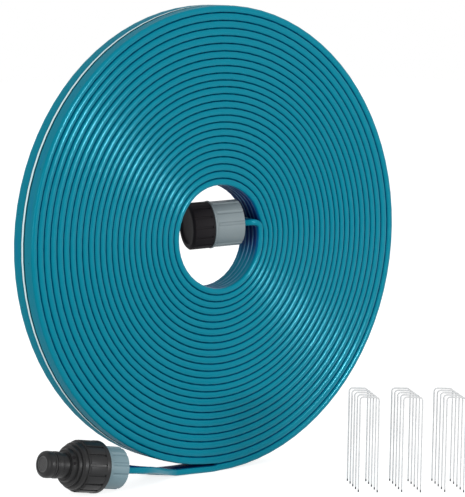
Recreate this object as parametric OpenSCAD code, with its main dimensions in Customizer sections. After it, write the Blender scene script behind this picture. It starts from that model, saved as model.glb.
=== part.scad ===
// Flat soaker hose coiled on edge, with a quick-connect inlet, a capped end and ground staples.
// Millimetres. The origin is under the middle of the coil, on the ground. The coil's axis is Y.

/* [Hose] */
// Width of the flat hose
hose_w = 21.6; // [14:0.2:26]
// Thickness of the flat hose
hose_t = 4.6; // [3:0.1:5.4]
// Outer diameter of the hose end where it is round on its stem
hose_end_d = 15.4; // [13:0.2:16]

/* [Coil] */
// Radius of the hole in the coil, where the innermost loop ends
hole_r = 32.5; // [32:0.5:45]
// Gap between one loop and the next
loop_gap = 0.47; // [0.42:0.01:1]
// Number of whole loops
coil_loops = 24; // [20:1:24]
// Depth of the flat that the coil stands on
foot_cut = 0.5; // [0.2:0.1:1]

/* [Inner lead] */
// Turn of the end fitting away from the plane of the coil, in degrees
lead_yaw = 18.5; // [0:0.5:20]
// Height of the end fitting above the middle of the coil
lead_rise = 9.5; // [6:0.5:12]
// Radius of the fold between the innermost loop and the end fitting
lead_bend_r = 9.5; // [8:0.5:10]
// Straight hose between that fold and the end clamp nut
lead_straight = 1.5; // [1:0.5:3]
// Drop of the end fitting towards its cap, in degrees
lead_drop = 4; // [0:0.5:6]

/* [Clamp nuts] */
// Wall of the inlet clamp nut outside its thread
inlet_nut_wall = 1.9; // [1.6:0.1:3]
// Length of the inlet clamp nut
inlet_nut_l = 17.3; // [16:0.1:22]
// How much wider than its mouth the inlet nut's thread is
inlet_thread_step = 1.4; // [1:0.1:2]
// Wall of the end clamp nut outside its thread
end_nut_wall = 2; // [1.6:0.1:3]
// Length of the end clamp nut
end_nut_l = 21.5; // [18:0.1:26]
// How much wider than its mouth the end nut's thread is
end_thread_step = 3; // [1:0.1:3.6]
// Number of flutes round a clamp nut, one of which is left out to make a broad grip land
nut_flutes = 12; // [8:1:16]
// Radius of the cutter that makes a flute
flute_r = 1.5; // [0.8:0.1:1.8]
// Depth of a flute
flute_depth = 0.9; // [0.3:0.1:1.1]
// Plain band between the flutes and the flange
nut_band_l = 3; // [0.3:0.1:4]
// Turn of the inlet nut's flutes about its axis, in degrees
inlet_flute_turn = 3.5; // [-15:0.5:15]
// Turn of the end nut's flutes about its axis, in degrees
end_flute_turn = -10; // [-15:0.5:15]
// How far the thin flange stands out at the front of a nut
nut_flange_out = 0.7; // [0.3:0.1:1]
// Thickness of that flange
nut_flange_t = 1.2; // [0.8:0.1:2]
// Chamfer at the back of a nut
nut_chamfer = 0.6; // [0.5:0.1:2]
// Clear width round the hose in a nut's mouth, beyond the hose's width
mouth_clear = 1; // [0.9:0.1:1.2]
// How much wider the end nut's mouth is than the inlet nut's
end_mouth_more = 1.8; // [0:0.1:2.4]
// Depth of a nut's mouth before its thread
mouth_l = 4; // [3:0.5:5]

/* [Spigots] */
// Outer diameter of the hose stem
stem_d = 11.6; // [10:0.2:12]
// Waterway through the stem
stem_bore = 9; // [6:0.2:9]
// Diameter of the pipe thread that takes the collar or the cap
pipe_thread_d = 26.3; // [25.9:0.1:26.5]
// Length of that thread
pipe_thread_l = 9.4; // [8.4:0.1:11]
// Bore of the sleeve round the hose end
skirt_bore = 16.9; // [16.5:0.1:17.5]
// Number of barbs on the stem
barb_count = 3; // [1:1:4]
// Length of the slip ring between nut and collet
slip_ring_l = 1; // [0.8:0.1:1.4]
// Length of the grip collet
collet_l = 4.4; // [3.5:0.1:5]
// Number of slots that let a collet close
collet_slots = 6; // [3:1:8]

/* [Quick connector] */
// Diameter of the collar over its ribs
collar_d = 34; // [33:0.5:38]
// Diameter of the collar's plain rear rim
collar_rim_d = 34.4; // [33:0.2:39]
// Length of that rim
collar_rim_l = 3.4; // [2:0.1:5]
// Length of the ribbed part, rim included
collar_rib_l = 17; // [16:0.5:24]
// Number of ribs round the collar
collar_ribs = 16; // [12:1:20]
// Diameter of the collar's first front step
collar_step_d = 30.8; // [28:0.2:32]
// Length of that step
collar_step_l = 3.7; // [3:0.1:6]
// Diameter of the collar's second front step
collar_ring_d = 26.8; // [25:0.2:27.6]
// Length of that step
collar_ring_l = 2.4; // [1.5:0.1:4]
// Diameter of the nose where it meets the second step
collar_nose_d = 22.4; // [21.8:0.2:24]
// Diameter of the nose at its front
collar_nose_front_d = 21; // [20.4:0.2:21.6]
// Length of the nose
collar_nose_l = 3.1; // [2.4:0.1:5]
// Diameter of the nipple's hub, which turns in the collar
hub_d = 18.8; // [18:0.1:19.4]
// Outside diameter of the nipple
nipple_d = 17.6; // [17:0.1:18]
// Length of the nipple in front of the collar
nipple_l = 16.8; // [15:0.1:19]
// Diameter of the neck behind the nipple's ridge
neck_d = 16.6; // [14:0.2:16.6]
// Length of that neck
neck_l = 5.2; // [4:0.1:6]
// Waterway through the nipple
nipple_bore = 9.2; // [7:0.2:10]
// Rounding of the nipple's tip
tip_round = 2.5; // [1:0.1:3]
// Thickness of the O-ring
o_ring_t = 2.1; // [1.6:0.1:2.6]
// Distance from the O-ring's middle to the nipple's tip
o_ring_back = 6.2; // [5.4:0.1:8]
// Diameter of the strainer disc in the nipple's mouth
strainer_d = 10.6; // [10.4:0.1:11]
// Thickness of the strainer disc
strainer_t = 1.3; // [1:0.1:2]
// Diameter of a strainer hole
strainer_hole = 1.4; // [0.8:0.1:1.6]
// Thickness of a flat sealing washer
washer_t = 2; // [1.5:0.1:2.4]
// Hole through a flat sealing washer
washer_hole = 14; // [12:0.5:16]

/* [End cap] */
// Diameter of the cap over its ribs
cap_d = 32; // [31:0.2:34]
// Thickness of the cap's end wall
cap_wall = 4.2; // [3:0.1:6]
// Number of ribs round the cap
cap_ribs = 14; // [10:1:18]
// Depth of the dish in the cap's end
cap_dish = 1.4; // [0.5:0.1:2]
// Width of the flat rim round that dish
cap_dish_rim = 4; // [2:0.5:6]
// Chamfer round the cap's end
cap_chamfer = 1.5; // [0.5:0.1:2.5]
// Plain band at each end of the cap's ribs
cap_rib_end = 1.6; // [1:0.1:3]

/* [Place of the inlet] */
// Distance of the inlet nut from the middle of the coil, to the left
inlet_x = 92; // [88:1:96]
// Distance of the inlet in front of the coil's middle
inlet_y = 18; // [16:1:20]
// Rise of the inlet towards its nipple, in degrees. Its collar's rim lies on the ground.
inlet_tilt = 9; // [4:0.5:10]

/* [Staples] */
// Height of a staple
staple_h = 64; // [40:1:90]
// Width of a staple over its legs
staple_w = 13.8; // [9:0.2:20]
// Diameter of the wire
wire_d = 1.4; // [1:0.1:2]
// Radius of the bend at a staple's shoulder, to the middle of the wire
shoulder_r = 2.2; // [1.6:0.1:3]
// Number of staples in a bundle
staples_each = 5; // [1:1:6]

/* [Running clearances] */
// Radial clearance between parts that turn or slide in each other
run = 0.05; // [0.03:0.01:0.08]
// Gap between faces that stop against each other
seat = 0.05; // [0.03:0.01:0.1]

/* [Hidden] */
$fn = 72;
eps = 0.01;

// Coil. Loops are 24-sided and lie outside the true spiral, which touches the middle of each side.
loop_rings = 24;
ring_step = 360 / loop_rings;
side_stretch = 1 / cos(ring_step / 2);
first_angle = -90 - ring_step / 2;
last_angle = -ring_step / 2;
lead_rings = round((last_angle - first_angle) / ring_step);
ring_count = loop_rings * coil_loops;
coil_pitch = hose_t + loop_gap;
coil_r = hole_r + hose_t + coil_pitch * (ring_count + lead_rings) / loop_rings;
coil_z = coil_r - foot_cut;
edge_in = 1.6;
bend_rings = 6;
taper_l = 4.8;
hose_end_gap = 0.4;

// Fittings, measured along their own axes from the back of the clamp nut.
mouth_d = hose_w + mouth_clear;
inlet_thread_d = mouth_d + inlet_thread_step;
inlet_nut_d = inlet_thread_d + 2 * inlet_nut_wall;
end_mouth_d = mouth_d + end_mouth_more;
end_thread_d = end_mouth_d + end_thread_step;
end_nut_d = end_thread_d + 2 * end_nut_wall;
inlet_blank_flute = 7;
end_blank_flute = 8;
washer_d = pipe_thread_d - 1;
stem_start = 4.6;
barb_out = 0.5;
barb_l = 2.4;
barb_step = 3;
collet_clear = 0.4;
collet_cone = 1.2;
slot_w = 1;
collet_start = mouth_l + seat + slip_ring_l + seat;
skirt_start = collet_start + collet_l + seat;
step_inlet = inlet_nut_l + 0.3;
step_end = end_nut_l + 0.1;
collar_back = inlet_nut_l + 0.2;
pipe_bore = pipe_thread_d + 2 * run;
spigot_tip_inlet = step_inlet + pipe_thread_l;
spigot_tip_end = step_end + pipe_thread_l;
nipple_back = spigot_tip_inlet + seat + washer_t + seat;
nipple_flange_d = pipe_thread_d - 0.1;
nipple_flange_l = 3.3;
collar_shoulder = nipple_back + nipple_flange_l + seat;
collar_rib_end = collar_back + collar_rib_l;
collar_step_end = collar_rib_end + collar_step_l;
collar_ring_end = collar_step_end + collar_ring_l;
collar_front = collar_ring_end + collar_nose_l;
nipple_tip = collar_front + nipple_l;
cap_back = end_nut_l + 0.2;
cap_floor = spigot_tip_end + seat + washer_t + seat;
cap_front = cap_floor + cap_wall;
rib_groove_w = 1.6;
rib_groove_depth = 0.8;
nose_chamfer = 0.3;
o_ring_squeeze = 0.1;

// The back edge of the collar's rim touches the ground, or the nut's where the nut is thicker.
inlet_z = max(collar_rim_d / 2 * cos(inlet_tilt) - collar_back * sin(inlet_tilt),
              inlet_nut_d / 2 * cos(inlet_tilt) - nut_chamfer * sin(inlet_tilt));

// Route of the free tail, from the coil to the back of the inlet nut, through the hose's middle.
tail_route = [[-35, 0, 2.3], [-41, -0.9, 2.9], [-48, -3.4, 4.2], [-55, -6.9, 5.9], [-62, -10.7, 7.8],
              [-69, -14.3, 9.7], [-76, -17, 11.4], [-83, -18, 12.8]];
tail_sides = 12;

// Staples. The bundles stand in a row, each turned the same way.
bundle_at = [56, -88.8];
bundle_step = [23.6, -16.4];
staple_step = [-4.5, -7.6];
staple_turn = -40;
tip_cut_angle = 40;

TEAL = [0, 0.5, 0.56];
BLACK = [0.16, 0.16, 0.17];
GREY = [0.5, 0.58, 0.6];
RUBBER = [0.07, 0.07, 0.08];
STEEL = [0.82, 0.82, 0.8];

// ---- Hose ----

function unit(v) = v / norm(v);
function smooth(s) = s * s * (3 - 2 * s);

// Six points of the flat hose round c: side runs across the width, out through the thickness.
function flat_ring(c, side, out, w, t) = [
    for (p = [[1, 0], [1, 1], [-1, 1], [-1, 0], [-1, -1], [1, -1]])
        c + side * p[0] * (w / 2 - (p[1] == 0 ? 0 : edge_in)) + out * p[1] * t / 2];

function loop_r(angle_in) = coil_r - hose_t / 2 - coil_pitch * angle_in / 360;
function at_angle(r, a) = [r * cos(a), 0, coil_z + r * sin(a)];
function on_ground(p) = [p[0], p[1], max(p[2], 0)];

// One ring of the loops. Its plane holds the coil's axis.
function loop_ring(i) = let (a = first_angle + i * ring_step, r = loop_r(i * ring_step))
    [for (p = flat_ring(at_angle(r * side_stretch, a), [0, 1, 0],
                        [cos(a), 0, sin(a)] * side_stretch, hose_w, hose_t)) on_ground(p)];

// The lead goes on with the last loop. A fold then turns the hose from straight up to the heading
// of the end fitting, and yaws as much as it has come away from the loop outside it.
fold_start = [loop_r(360 * coil_loops - first_angle), 0,
              coil_z + lead_rise - lead_bend_r * cos(lead_drop)];
fold_turn = 90 + lead_drop;
fold_step = fold_turn / bend_rings;
function fold_yaw(b) = lead_yaw * (1 - cos(b)) / (1 - cos(fold_turn));
function fold_side(b) = [sin(fold_yaw(b)), cos(fold_yaw(b)), 0];
function fold_way(b) = [-cos(fold_yaw(b)) * sin(b), sin(fold_yaw(b)) * sin(b), cos(b)];
function fold_point(j) = j == 0 ? fold_start
    : fold_point(j - 1) + fold_way((j - 0.5) * fold_step) * 2 * lead_bend_r * sin(fold_step / 2);
function fold_ring(j) = let (b = j * fold_step)
    flat_ring(fold_point(j), fold_side(b), cross(fold_way(b), fold_side(b)), hose_w, hose_t);
heading = fold_way(fold_turn);
end_side = fold_side(fold_turn);
end_up = cross(heading, end_side);
end_at = fold_point(bend_rings) + heading * lead_straight;

// Six points of the round hose end.
function round_ring(c, side, out, d) = [
    for (q = [0 : 5]) c + (side * cos(60 * q) + out * sin(60 * q)) * d / 2];

hose_end_inside = step_end - hose_end_gap;
coil_rings = concat(
    [flat_ring(tail_route[0], [0, 1, 0], [0, 0, -1], hose_w, hose_t)],
    [for (i = [0 : ring_count + lead_rings]) loop_ring(i)],
    [for (j = [0 : bend_rings]) fold_ring(j)],
    [flat_ring(end_at, end_side, end_up, hose_w, hose_t)],
    [for (u = [taper_l, hose_end_inside]) round_ring(end_at + heading * u, end_side, end_up, hose_end_d)]);

// Sides of a tube through rings of n points each, closed at both ends.
function tube_faces(rings, n) = concat(
    [[for (q = [n - 1 : -1 : 0]) q]],
    [for (i = [0 : len(rings) - 2]) for (q = [0 : n - 1]) each [
        [i * n + q, i * n + (q + 1) % n, (i + 1) * n + q],
        [i * n + (q + 1) % n, (i + 1) * n + (q + 1) % n, (i + 1) * n + q]]],
    [[for (q = [0 : n - 1]) (len(rings) - 1) * n + q]]);

module tube(rings) {
    n = len(rings[0]);
    polyhedron([for (r = rings) for (p = r) p], tube_faces(rings, n), convexity = 10);
}

// Least gap of the loops to themselves: inner corner of one ring to the outer side of the next in.
function side_gap(i) = let (a = first_angle + i * ring_step, out = [cos(a), 0, sin(a)])
    min([for (p = loop_ring(i)) p * out]) - max([for (p = loop_ring(i + loop_rings)) p * out]);
function inner_face(a) = loop_r(360 * (coil_loops - 1) + a - first_angle) - hose_t / 2;
function fold_gap(j) = min([for (p = fold_ring(j)) let (q = [p[0], p[2] - coil_z])
    inner_face(atan2(q[1], q[0])) - norm(q)]);
least_gap = min(concat([for (i = [1 : ring_count + lead_rings - loop_rings]) side_gap(i) / side_stretch],
                       [for (j = [0 : bend_rings]) fold_gap(j)]));
echo(least_gap_of_coil_mm = least_gap, loops = coil_loops + lead_rings / loop_rings);

module hose_coil() color(TEAL) tube(coil_rings);

// Tail: flat along its route, round inside the nut.
function super_ring(c, side, out, w, t, e) = [
    for (q = [0 : tail_sides - 1]) let (a = 360 * q / tail_sides, x = cos(a), y = sin(a))
        c + side * sign(x) * pow(abs(x), e) * w / 2 + out * sign(y) * pow(abs(y), e) * t / 2];
flat_power = 0.5;

inlet_axis = [-cos(inlet_tilt), 0, sin(inlet_tilt)];
inlet_up = [sin(inlet_tilt), 0, cos(inlet_tilt)];
inlet_at = [-inlet_x, -inlet_y, inlet_z];
tail_points = concat(tail_route, [inlet_at]);
function heading_at(i) = i == 0 ? [-1, 0, 0] : i == len(tail_points) - 1 ? inlet_axis
    : unit(tail_points[i + 1] - tail_points[i - 1]);
function tail_ring(i) = let (h = heading_at(i), side = unit(cross([0, 0, 1], -h)))
    [for (p = super_ring(tail_points[i], side, cross(-h, side), hose_w, hose_t, flat_power)) on_ground(p)];
tail_rings = concat(
    [for (i = [0 : len(tail_points) - 1]) tail_ring(i)],
    [for (s = [1 : 2]) super_ring(inlet_at + inlet_axis * taper_l * s / 2, [0, 1, 0], inlet_up,
        hose_w + (hose_end_d - hose_w) * s / 2, hose_t + (hose_end_d - hose_t) * s / 2,
        flat_power + (1 - flat_power) * s / 2)],
    [super_ring(inlet_at + inlet_axis * (step_inlet - hose_end_gap), [0, 1, 0], inlet_up,
        hose_end_d, hose_end_d, 1)]);

module hose_tail() color(TEAL) tube(tail_rings);

// ---- Places of the two fittings: z runs from the clamp nut's back to its front ----

module at_inlet() translate(inlet_at) rotate([0, inlet_tilt - 90, 0]) children();
module at_end() translate(end_at) rotate([0, -fold_turn, -lead_yaw]) children();

module ring_of(d_out, d_in, z, l) translate([0, 0, z]) difference() {
    cylinder(d = d_out, h = l);
    translate([0, 0, -eps]) cylinder(d = d_in, h = l + 2 * eps);
}

// A body of revolution from [radius, height] pairs.
module turned(points) rotate_extrude() polygon(points);

// ---- Parts that both ends share ----

module clamp_nut(d, l, mouth, thread, blank, turn) difference() {
    union() {
        turned([[0, 0], [d / 2 - nut_chamfer, 0], [d / 2, nut_chamfer], [d / 2, l], [0, l]]);
        translate([0, 0, l - nut_flange_t]) cylinder(d = d + 2 * nut_flange_out, h = nut_flange_t);
    }
    for (i = [0 : nut_flutes - 1]) if (i != blank) rotate([0, 0, (i + 0.5) * 360 / nut_flutes + turn])
        translate([d / 2 + flute_r - flute_depth, 0, -eps])
            cylinder(r = flute_r, h = l - nut_flange_t - nut_band_l + eps);
    translate([0, 0, -eps]) cylinder(d = mouth, h = l + 2 * eps);
    translate([0, 0, mouth_l]) cylinder(d = thread + 2 * run, h = l);
}

module slip_ring(mouth, thread) ring_of(thread - 2 * run, mouth, mouth_l + seat, slip_ring_l);

module collet(thread) {
    bore = hose_end_d / 2 + collet_clear;
    outside = thread / 2 - collet_clear;
    end = collet_start + collet_l;
    difference() {
        turned([[bore, collet_start], [outside, collet_start], [outside, collet_start + collet_l / 2],
                [outside - collet_cone, end], [bore, end]]);
        for (i = [0 : collet_slots - 1]) rotate([0, 0, i * 360 / collet_slots])
            translate([0, -slot_w / 2, collet_start + collet_l / 3]) cube([thread, slot_w, collet_l]);
    }
}

module spigot(thread, step) difference() {
    union() {
        difference() {
            union() {
                translate([0, 0, skirt_start]) cylinder(d = thread, h = step - skirt_start);
                translate([0, 0, step]) cylinder(d = pipe_thread_d, h = pipe_thread_l);
            }
            translate([0, 0, skirt_start - eps]) cylinder(d = skirt_bore, h = step - skirt_start + eps);
        }
        translate([0, 0, stem_start]) cylinder(d = stem_d, h = step - stem_start + eps);
        for (i = [0 : barb_count - 1]) translate([0, 0, stem_start + i * barb_step])
            turned([[0, 0], [stem_d / 2, 0], [stem_d / 2 + barb_out, barb_l], [0, barb_l]]);
    }
    translate([0, 0, -eps]) cylinder(d = stem_bore, h = step + pipe_thread_l + 1);
}

module rib_grooves(d, n, from, to) for (i = [0 : n - 1]) rotate([0, 0, (i + 0.5) * 360 / n])
    translate([d / 2 - rib_groove_depth, -rib_groove_w / 2, from])
        cube([rib_groove_depth + 1, rib_groove_w, to - from]);

// ---- Inlet end ----

module inlet_clamp_nut() color(GREY) at_inlet()
    clamp_nut(inlet_nut_d, inlet_nut_l, mouth_d, inlet_thread_d, inlet_blank_flute, inlet_flute_turn);
module inlet_slip_ring() color(STEEL) at_inlet() slip_ring(mouth_d, inlet_thread_d);
module inlet_collet() color(BLACK) at_inlet() collet(inlet_thread_d);
module inlet_spigot() color(GREY) at_inlet() spigot(inlet_thread_d, step_inlet);
module inlet_washer() color(RUBBER) at_inlet()
    ring_of(washer_d, washer_hole, spigot_tip_inlet + seat, washer_t);

module connector_collar() color(BLACK) at_inlet() difference() {
    union() {
        translate([0, 0, collar_back]) cylinder(d = collar_rim_d, h = collar_rim_l);
        turned([[0, collar_back], [collar_d / 2, collar_back], [collar_d / 2, collar_rib_end - 1],
                [collar_d / 2 - 1, collar_rib_end], [collar_step_d / 2, collar_rib_end],
                [collar_step_d / 2, collar_step_end - 1.2], [collar_step_d / 2 - 0.8, collar_step_end],
                [collar_ring_d / 2, collar_step_end], [collar_ring_d / 2, collar_ring_end],
                [collar_nose_d / 2, collar_ring_end], [collar_nose_front_d / 2, collar_front - nose_chamfer],
                [collar_nose_front_d / 2 - nose_chamfer, collar_front], [0, collar_front]]);
    }
    rib_grooves(collar_d, collar_ribs, collar_back + collar_rim_l, collar_rib_end + eps);
    translate([0, 0, collar_back - eps]) cylinder(d = pipe_bore, h = collar_shoulder - collar_back + eps);
    cylinder(d = hub_d + 2 * run, h = collar_front + eps);
}

o_ring_z = nipple_tip - o_ring_back;
o_ring_r = nipple_d / 2 - o_ring_squeeze - o_ring_t / 2;
strainer_seat = nipple_tip - strainer_t - 0.3;

module connector_nipple() color(BLACK) at_inlet() difference() {
    union() {
        translate([0, 0, nipple_back]) cylinder(d = nipple_flange_d, h = nipple_flange_l);
        translate([0, 0, nipple_back]) cylinder(d = hub_d, h = collar_front + 0.3 - nipple_back);
        translate([0, 0, collar_front]) cylinder(d = neck_d, h = neck_l + eps);
        turned(concat([[0, collar_front + neck_l], [nipple_d / 2, collar_front + neck_l]],
            [for (a = [0 : 15 : 90]) [nipple_d / 2 - tip_round * (1 - cos(a)),
                                      nipple_tip - tip_round * (1 - sin(a))]],
            [[0, nipple_tip]]));
    }
    translate([0, 0, nipple_back - eps]) cylinder(d = nipple_bore, h = nipple_tip);
    translate([0, 0, strainer_seat]) cylinder(d = strainer_d + 2 * run, h = strainer_t + 1);
    ring_of(nipple_d + 1, 2 * o_ring_r - o_ring_t - 0.1, o_ring_z - o_ring_t / 2 - 0.1, o_ring_t + 0.2);
}

module nipple_o_ring() color(RUBBER) at_inlet() translate([0, 0, o_ring_z])
    rotate_extrude() translate([o_ring_r, 0]) circle(d = o_ring_t);

module nipple_strainer() color([0.3, 0.3, 0.31]) at_inlet() difference() {
    translate([0, 0, strainer_seat + 0.02]) cylinder(d = strainer_d, h = strainer_t);
    for (i = [0 : 6]) rotate([0, 0, i * 60])
        translate([i == 6 ? 0 : strainer_hole * 2, 0, strainer_seat - 1])
            cylinder(d = strainer_hole, h = strainer_t + 2);
}

// ---- Capped end ----

module end_clamp_nut() color(GREY) at_end()
    clamp_nut(end_nut_d, end_nut_l, end_mouth_d, end_thread_d, end_blank_flute, end_flute_turn);
module end_slip_ring() color(STEEL) at_end() slip_ring(end_mouth_d, end_thread_d);
module end_collet() color(BLACK) at_end() collet(end_thread_d);
module end_spigot() color(GREY) at_end() spigot(end_thread_d, step_end);
module end_washer() color(RUBBER) at_end()
    ring_of(washer_d, washer_hole, spigot_tip_end + seat, washer_t);

module end_cap() color(BLACK) at_end() difference() {
    turned([[0, cap_back], [cap_d / 2, cap_back], [cap_d / 2, cap_front - cap_chamfer],
            [cap_d / 2 - cap_chamfer, cap_front], [0, cap_front]]);
    rib_grooves(cap_d, cap_ribs, cap_back + cap_rib_end, cap_front - cap_rib_end);
    translate([0, 0, cap_back - eps]) cylinder(d = pipe_bore, h = cap_floor - cap_back + eps);
    translate([0, 0, cap_front - cap_dish]) cylinder(d = cap_d - 2 * cap_dish_rim, h = cap_dish + 1);
}

// ---- Staples ----

module staple() {
    half = staple_w / 2 - wire_d / 2;
    top = staple_h - wire_d / 2;
    difference() {
        union() {
            for (s = [0, 1]) mirror([s, 0, 0]) {
                translate([half, 0, 0]) cylinder(d = wire_d, h = top - shoulder_r, $fn = 24);
                translate([half - shoulder_r, 0, top - shoulder_r]) rotate([90, 0, 0])
                    rotate_extrude(angle = 90) translate([shoulder_r, 0]) circle(d = wire_d, $fn = 24);
            }
            translate([shoulder_r - half, 0, top]) rotate([0, 90, 0])
                cylinder(d = wire_d, h = 2 * (half - shoulder_r), $fn = 24);
        }
        for (s = [-1, 1]) translate([s * half - wire_d / 2, 0, 0]) rotate([0, tip_cut_angle, 0])
            translate([-wire_d * 2, -wire_d, -wire_d * 3]) cube([wire_d * 4, wire_d * 2, wire_d * 3]);
    }
}

module bundle(n) for (i = [0 : staples_each - 1])
    translate(concat(bundle_at + n * bundle_step + i * staple_step, [0]))
        rotate([0, 0, staple_turn]) staple();

module staples_left() color(STEEL) bundle(0);
module staples_middle() color(STEEL) bundle(1);
module staples_right() color(STEEL) bundle(2);

hose_coil();
hose_tail();
inlet_clamp_nut();
inlet_slip_ring();
inlet_collet();
inlet_spigot();
inlet_washer();
connector_collar();
connector_nipple();
nipple_o_ring();
nipple_strainer();
end_clamp_nut();
end_slip_ring();
end_collet();
end_spigot();
end_washer();
end_cap();
staples_left();
staples_middle();
staples_right();
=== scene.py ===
"""Looks of a flat soaker hose coiled on edge, with its quick connector, end cap and ground staples."""
import math
from functools import partial

import bmesh
import bpy
from mathutils import Matrix, Vector


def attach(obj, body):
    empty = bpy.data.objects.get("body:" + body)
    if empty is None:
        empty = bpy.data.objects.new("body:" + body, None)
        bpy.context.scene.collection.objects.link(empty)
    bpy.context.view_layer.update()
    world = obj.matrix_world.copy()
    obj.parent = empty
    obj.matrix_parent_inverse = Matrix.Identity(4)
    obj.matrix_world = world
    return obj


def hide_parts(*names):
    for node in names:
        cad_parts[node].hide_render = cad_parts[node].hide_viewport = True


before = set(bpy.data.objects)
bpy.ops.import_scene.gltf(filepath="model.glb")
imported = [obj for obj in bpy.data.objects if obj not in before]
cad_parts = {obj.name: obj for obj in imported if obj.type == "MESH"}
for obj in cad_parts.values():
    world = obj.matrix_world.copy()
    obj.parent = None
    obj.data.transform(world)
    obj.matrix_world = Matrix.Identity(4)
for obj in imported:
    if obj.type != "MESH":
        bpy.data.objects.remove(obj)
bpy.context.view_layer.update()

MM = 0.001
UP = Vector((0, 0, 1))


def paint(red, green, blue):
    """A colour card value from 0 to 255 as the shader's linear colour."""
    def linear(c):
        c /= 255
        return c / 12.92 if c <= 0.04045 else ((c + 0.055) / 1.055) ** 2.4
    return (linear(red), linear(green), linear(blue), 1)


def in_scene(name, data):
    """Makes an object of the data and puts it in the scene."""
    thing = bpy.data.objects.new(name, data)
    bpy.context.scene.collection.objects.link(thing)
    return thing


# ---- Camera ----

CAMERA_AT = (-0.9801, -1.2044, 0.3189)
CAMERA_TURN, CAMERA_RISE, CAMERA_ROLL = math.radians(-39.64), math.radians(6.125), math.radians(1.0)
CAMERA_SENSOR, CAMERA_LENS = 36, 166.45


def set_camera():
    turn, rise, roll = CAMERA_TURN, CAMERA_RISE, CAMERA_ROLL
    back = Vector((math.sin(turn) * math.cos(rise), -math.cos(turn) * math.cos(rise), math.sin(rise)))
    right = Vector((math.cos(turn), math.sin(turn), 0))
    up = back.cross(right)
    right, up = (right * math.cos(roll) + up * math.sin(roll),
                 up * math.cos(roll) - right * math.sin(roll))
    camera = bpy.data.cameras.new("camera")
    camera.sensor_width, camera.lens = CAMERA_SENSOR, CAMERA_LENS
    camera.clip_start, camera.clip_end = 0.05, 30
    stand = in_scene("camera", camera)
    stand.matrix_world = Matrix.Translation(CAMERA_AT) @ Matrix((right, up, back)).transposed().to_4x4()
    bpy.context.scene.camera = stand


set_camera()

# ---- Shared shader node groups ----


def node_in(tree, kind, **settings):
    """Makes a node. A setting is one of its properties or else one of its inputs."""
    node = tree.nodes.new(kind)
    for key, value in settings.items():
        if hasattr(node, key):
            setattr(node, key, value)
        else:
            node.inputs[key.replace("_", " ")].default_value = value
    return node


def math_node(tree, operation, *values, clamp=False):
    """A Math node. A value is a number or another node's output."""
    node = tree.nodes.new("ShaderNodeMath")
    node.operation, node.use_clamp = operation, clamp
    for socket, value in zip(node.inputs, values):
        if isinstance(value, (int, float)):
            socket.default_value = value
        else:
            tree.links.new(value, socket)
    return node.outputs[0]


def shader_group(name, inputs, outputs):
    group = bpy.data.node_groups.new(name, "ShaderNodeTree")
    for socket, kind, value in inputs:
        made = group.interface.new_socket(name=socket, in_out="INPUT", socket_type=kind)
        made.default_value = value
    for socket, kind in outputs:
        group.interface.new_socket(name=socket, in_out="OUTPUT", socket_type=kind)
    return group, group.nodes.new("NodeGroupInput"), group.nodes.new("NodeGroupOutput")


def make_moulded_grain():
    """Fine spark-eroded grain with a slow unevenness under it, as on injection-moulded plastic."""
    tree, given, out = shader_group(
        "moulded_grain",
        [("Grain size", "NodeSocketFloat", 0.0003), ("Patch size", "NodeSocketFloat", 0.012)],
        [("Height", "NodeSocketFloat"), ("Patches", "NodeSocketFloat")])
    where = tree.nodes.new("ShaderNodeTexCoord")
    for size, output, detail in (("Grain size", "Height", 2), ("Patch size", "Patches", 3)):
        noise = node_in(tree, "ShaderNodeTexNoise", Detail=detail, Roughness=0.55)
        tree.links.new(where.outputs["Object"], noise.inputs["Vector"])
        tree.links.new(math_node(tree, "DIVIDE", 1.0, given.outputs[size]), noise.inputs["Scale"])
        tree.links.new(noise.outputs["Fac"], out.inputs[output])
    return tree


def make_handling_marks():
    """Short rubbed scratches and thumb smears that change the gloss a little."""
    tree, given, out = shader_group(
        "handling_marks",
        [("Amount", "NodeSocketFloat", 0.1), ("Length", "NodeSocketFloat", 0.01)],
        [("Gloss change", "NodeSocketFloat"), ("Scratches", "NodeSocketFloat")])
    calc = partial(math_node, tree)
    where = tree.nodes.new("ShaderNodeTexCoord")
    squeeze = node_in(tree, "ShaderNodeMapping", Scale=(1, 9, 3), Rotation=(0.3, 0.2, 0.5))
    tree.links.new(where.outputs["Object"], squeeze.inputs["Vector"])
    fine = node_in(tree, "ShaderNodeTexNoise", Detail=4.0, Roughness=0.7)
    smear = node_in(tree, "ShaderNodeTexNoise", Detail=2.0, Roughness=0.5)
    rate = calc("DIVIDE", 1.0, given.outputs["Length"])
    for noise, vector in ((fine, squeeze.outputs[0]), (smear, where.outputs["Object"])):
        tree.links.new(vector, noise.inputs["Vector"])
        tree.links.new(rate, noise.inputs["Scale"])
    peaks = calc("SUBTRACT", fine.outputs["Fac"], 0.62, clamp=True)
    scratch = calc("MULTIPLY", peaks, 6.0, clamp=True)
    tree.links.new(scratch, out.inputs["Scratches"])
    change = calc("ADD", scratch, calc("SUBTRACT", smear.outputs["Fac"], 0.5))
    tree.links.new(calc("MULTIPLY", change, given.outputs["Amount"]), out.inputs["Gloss change"])
    return tree


MOULDED_GRAIN = make_moulded_grain()
HANDLING_MARKS = make_handling_marks()


def place_group(tree, group, **values):
    node = tree.nodes.new("ShaderNodeGroup")
    node.node_tree = group
    for key, value in values.items():
        node.inputs[key.replace("_", " ")].default_value = value
    return node


def start_material(name, **sockets):
    material = bpy.data.materials.new(name)
    material.use_nodes = True
    tree = material.node_tree
    shader = next(n for n in tree.nodes if n.type == "BSDF_PRINCIPLED")
    for key, value in sockets.items():
        shader.inputs[key.replace("_", " ")].default_value = value
    return material, tree, shader


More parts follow.
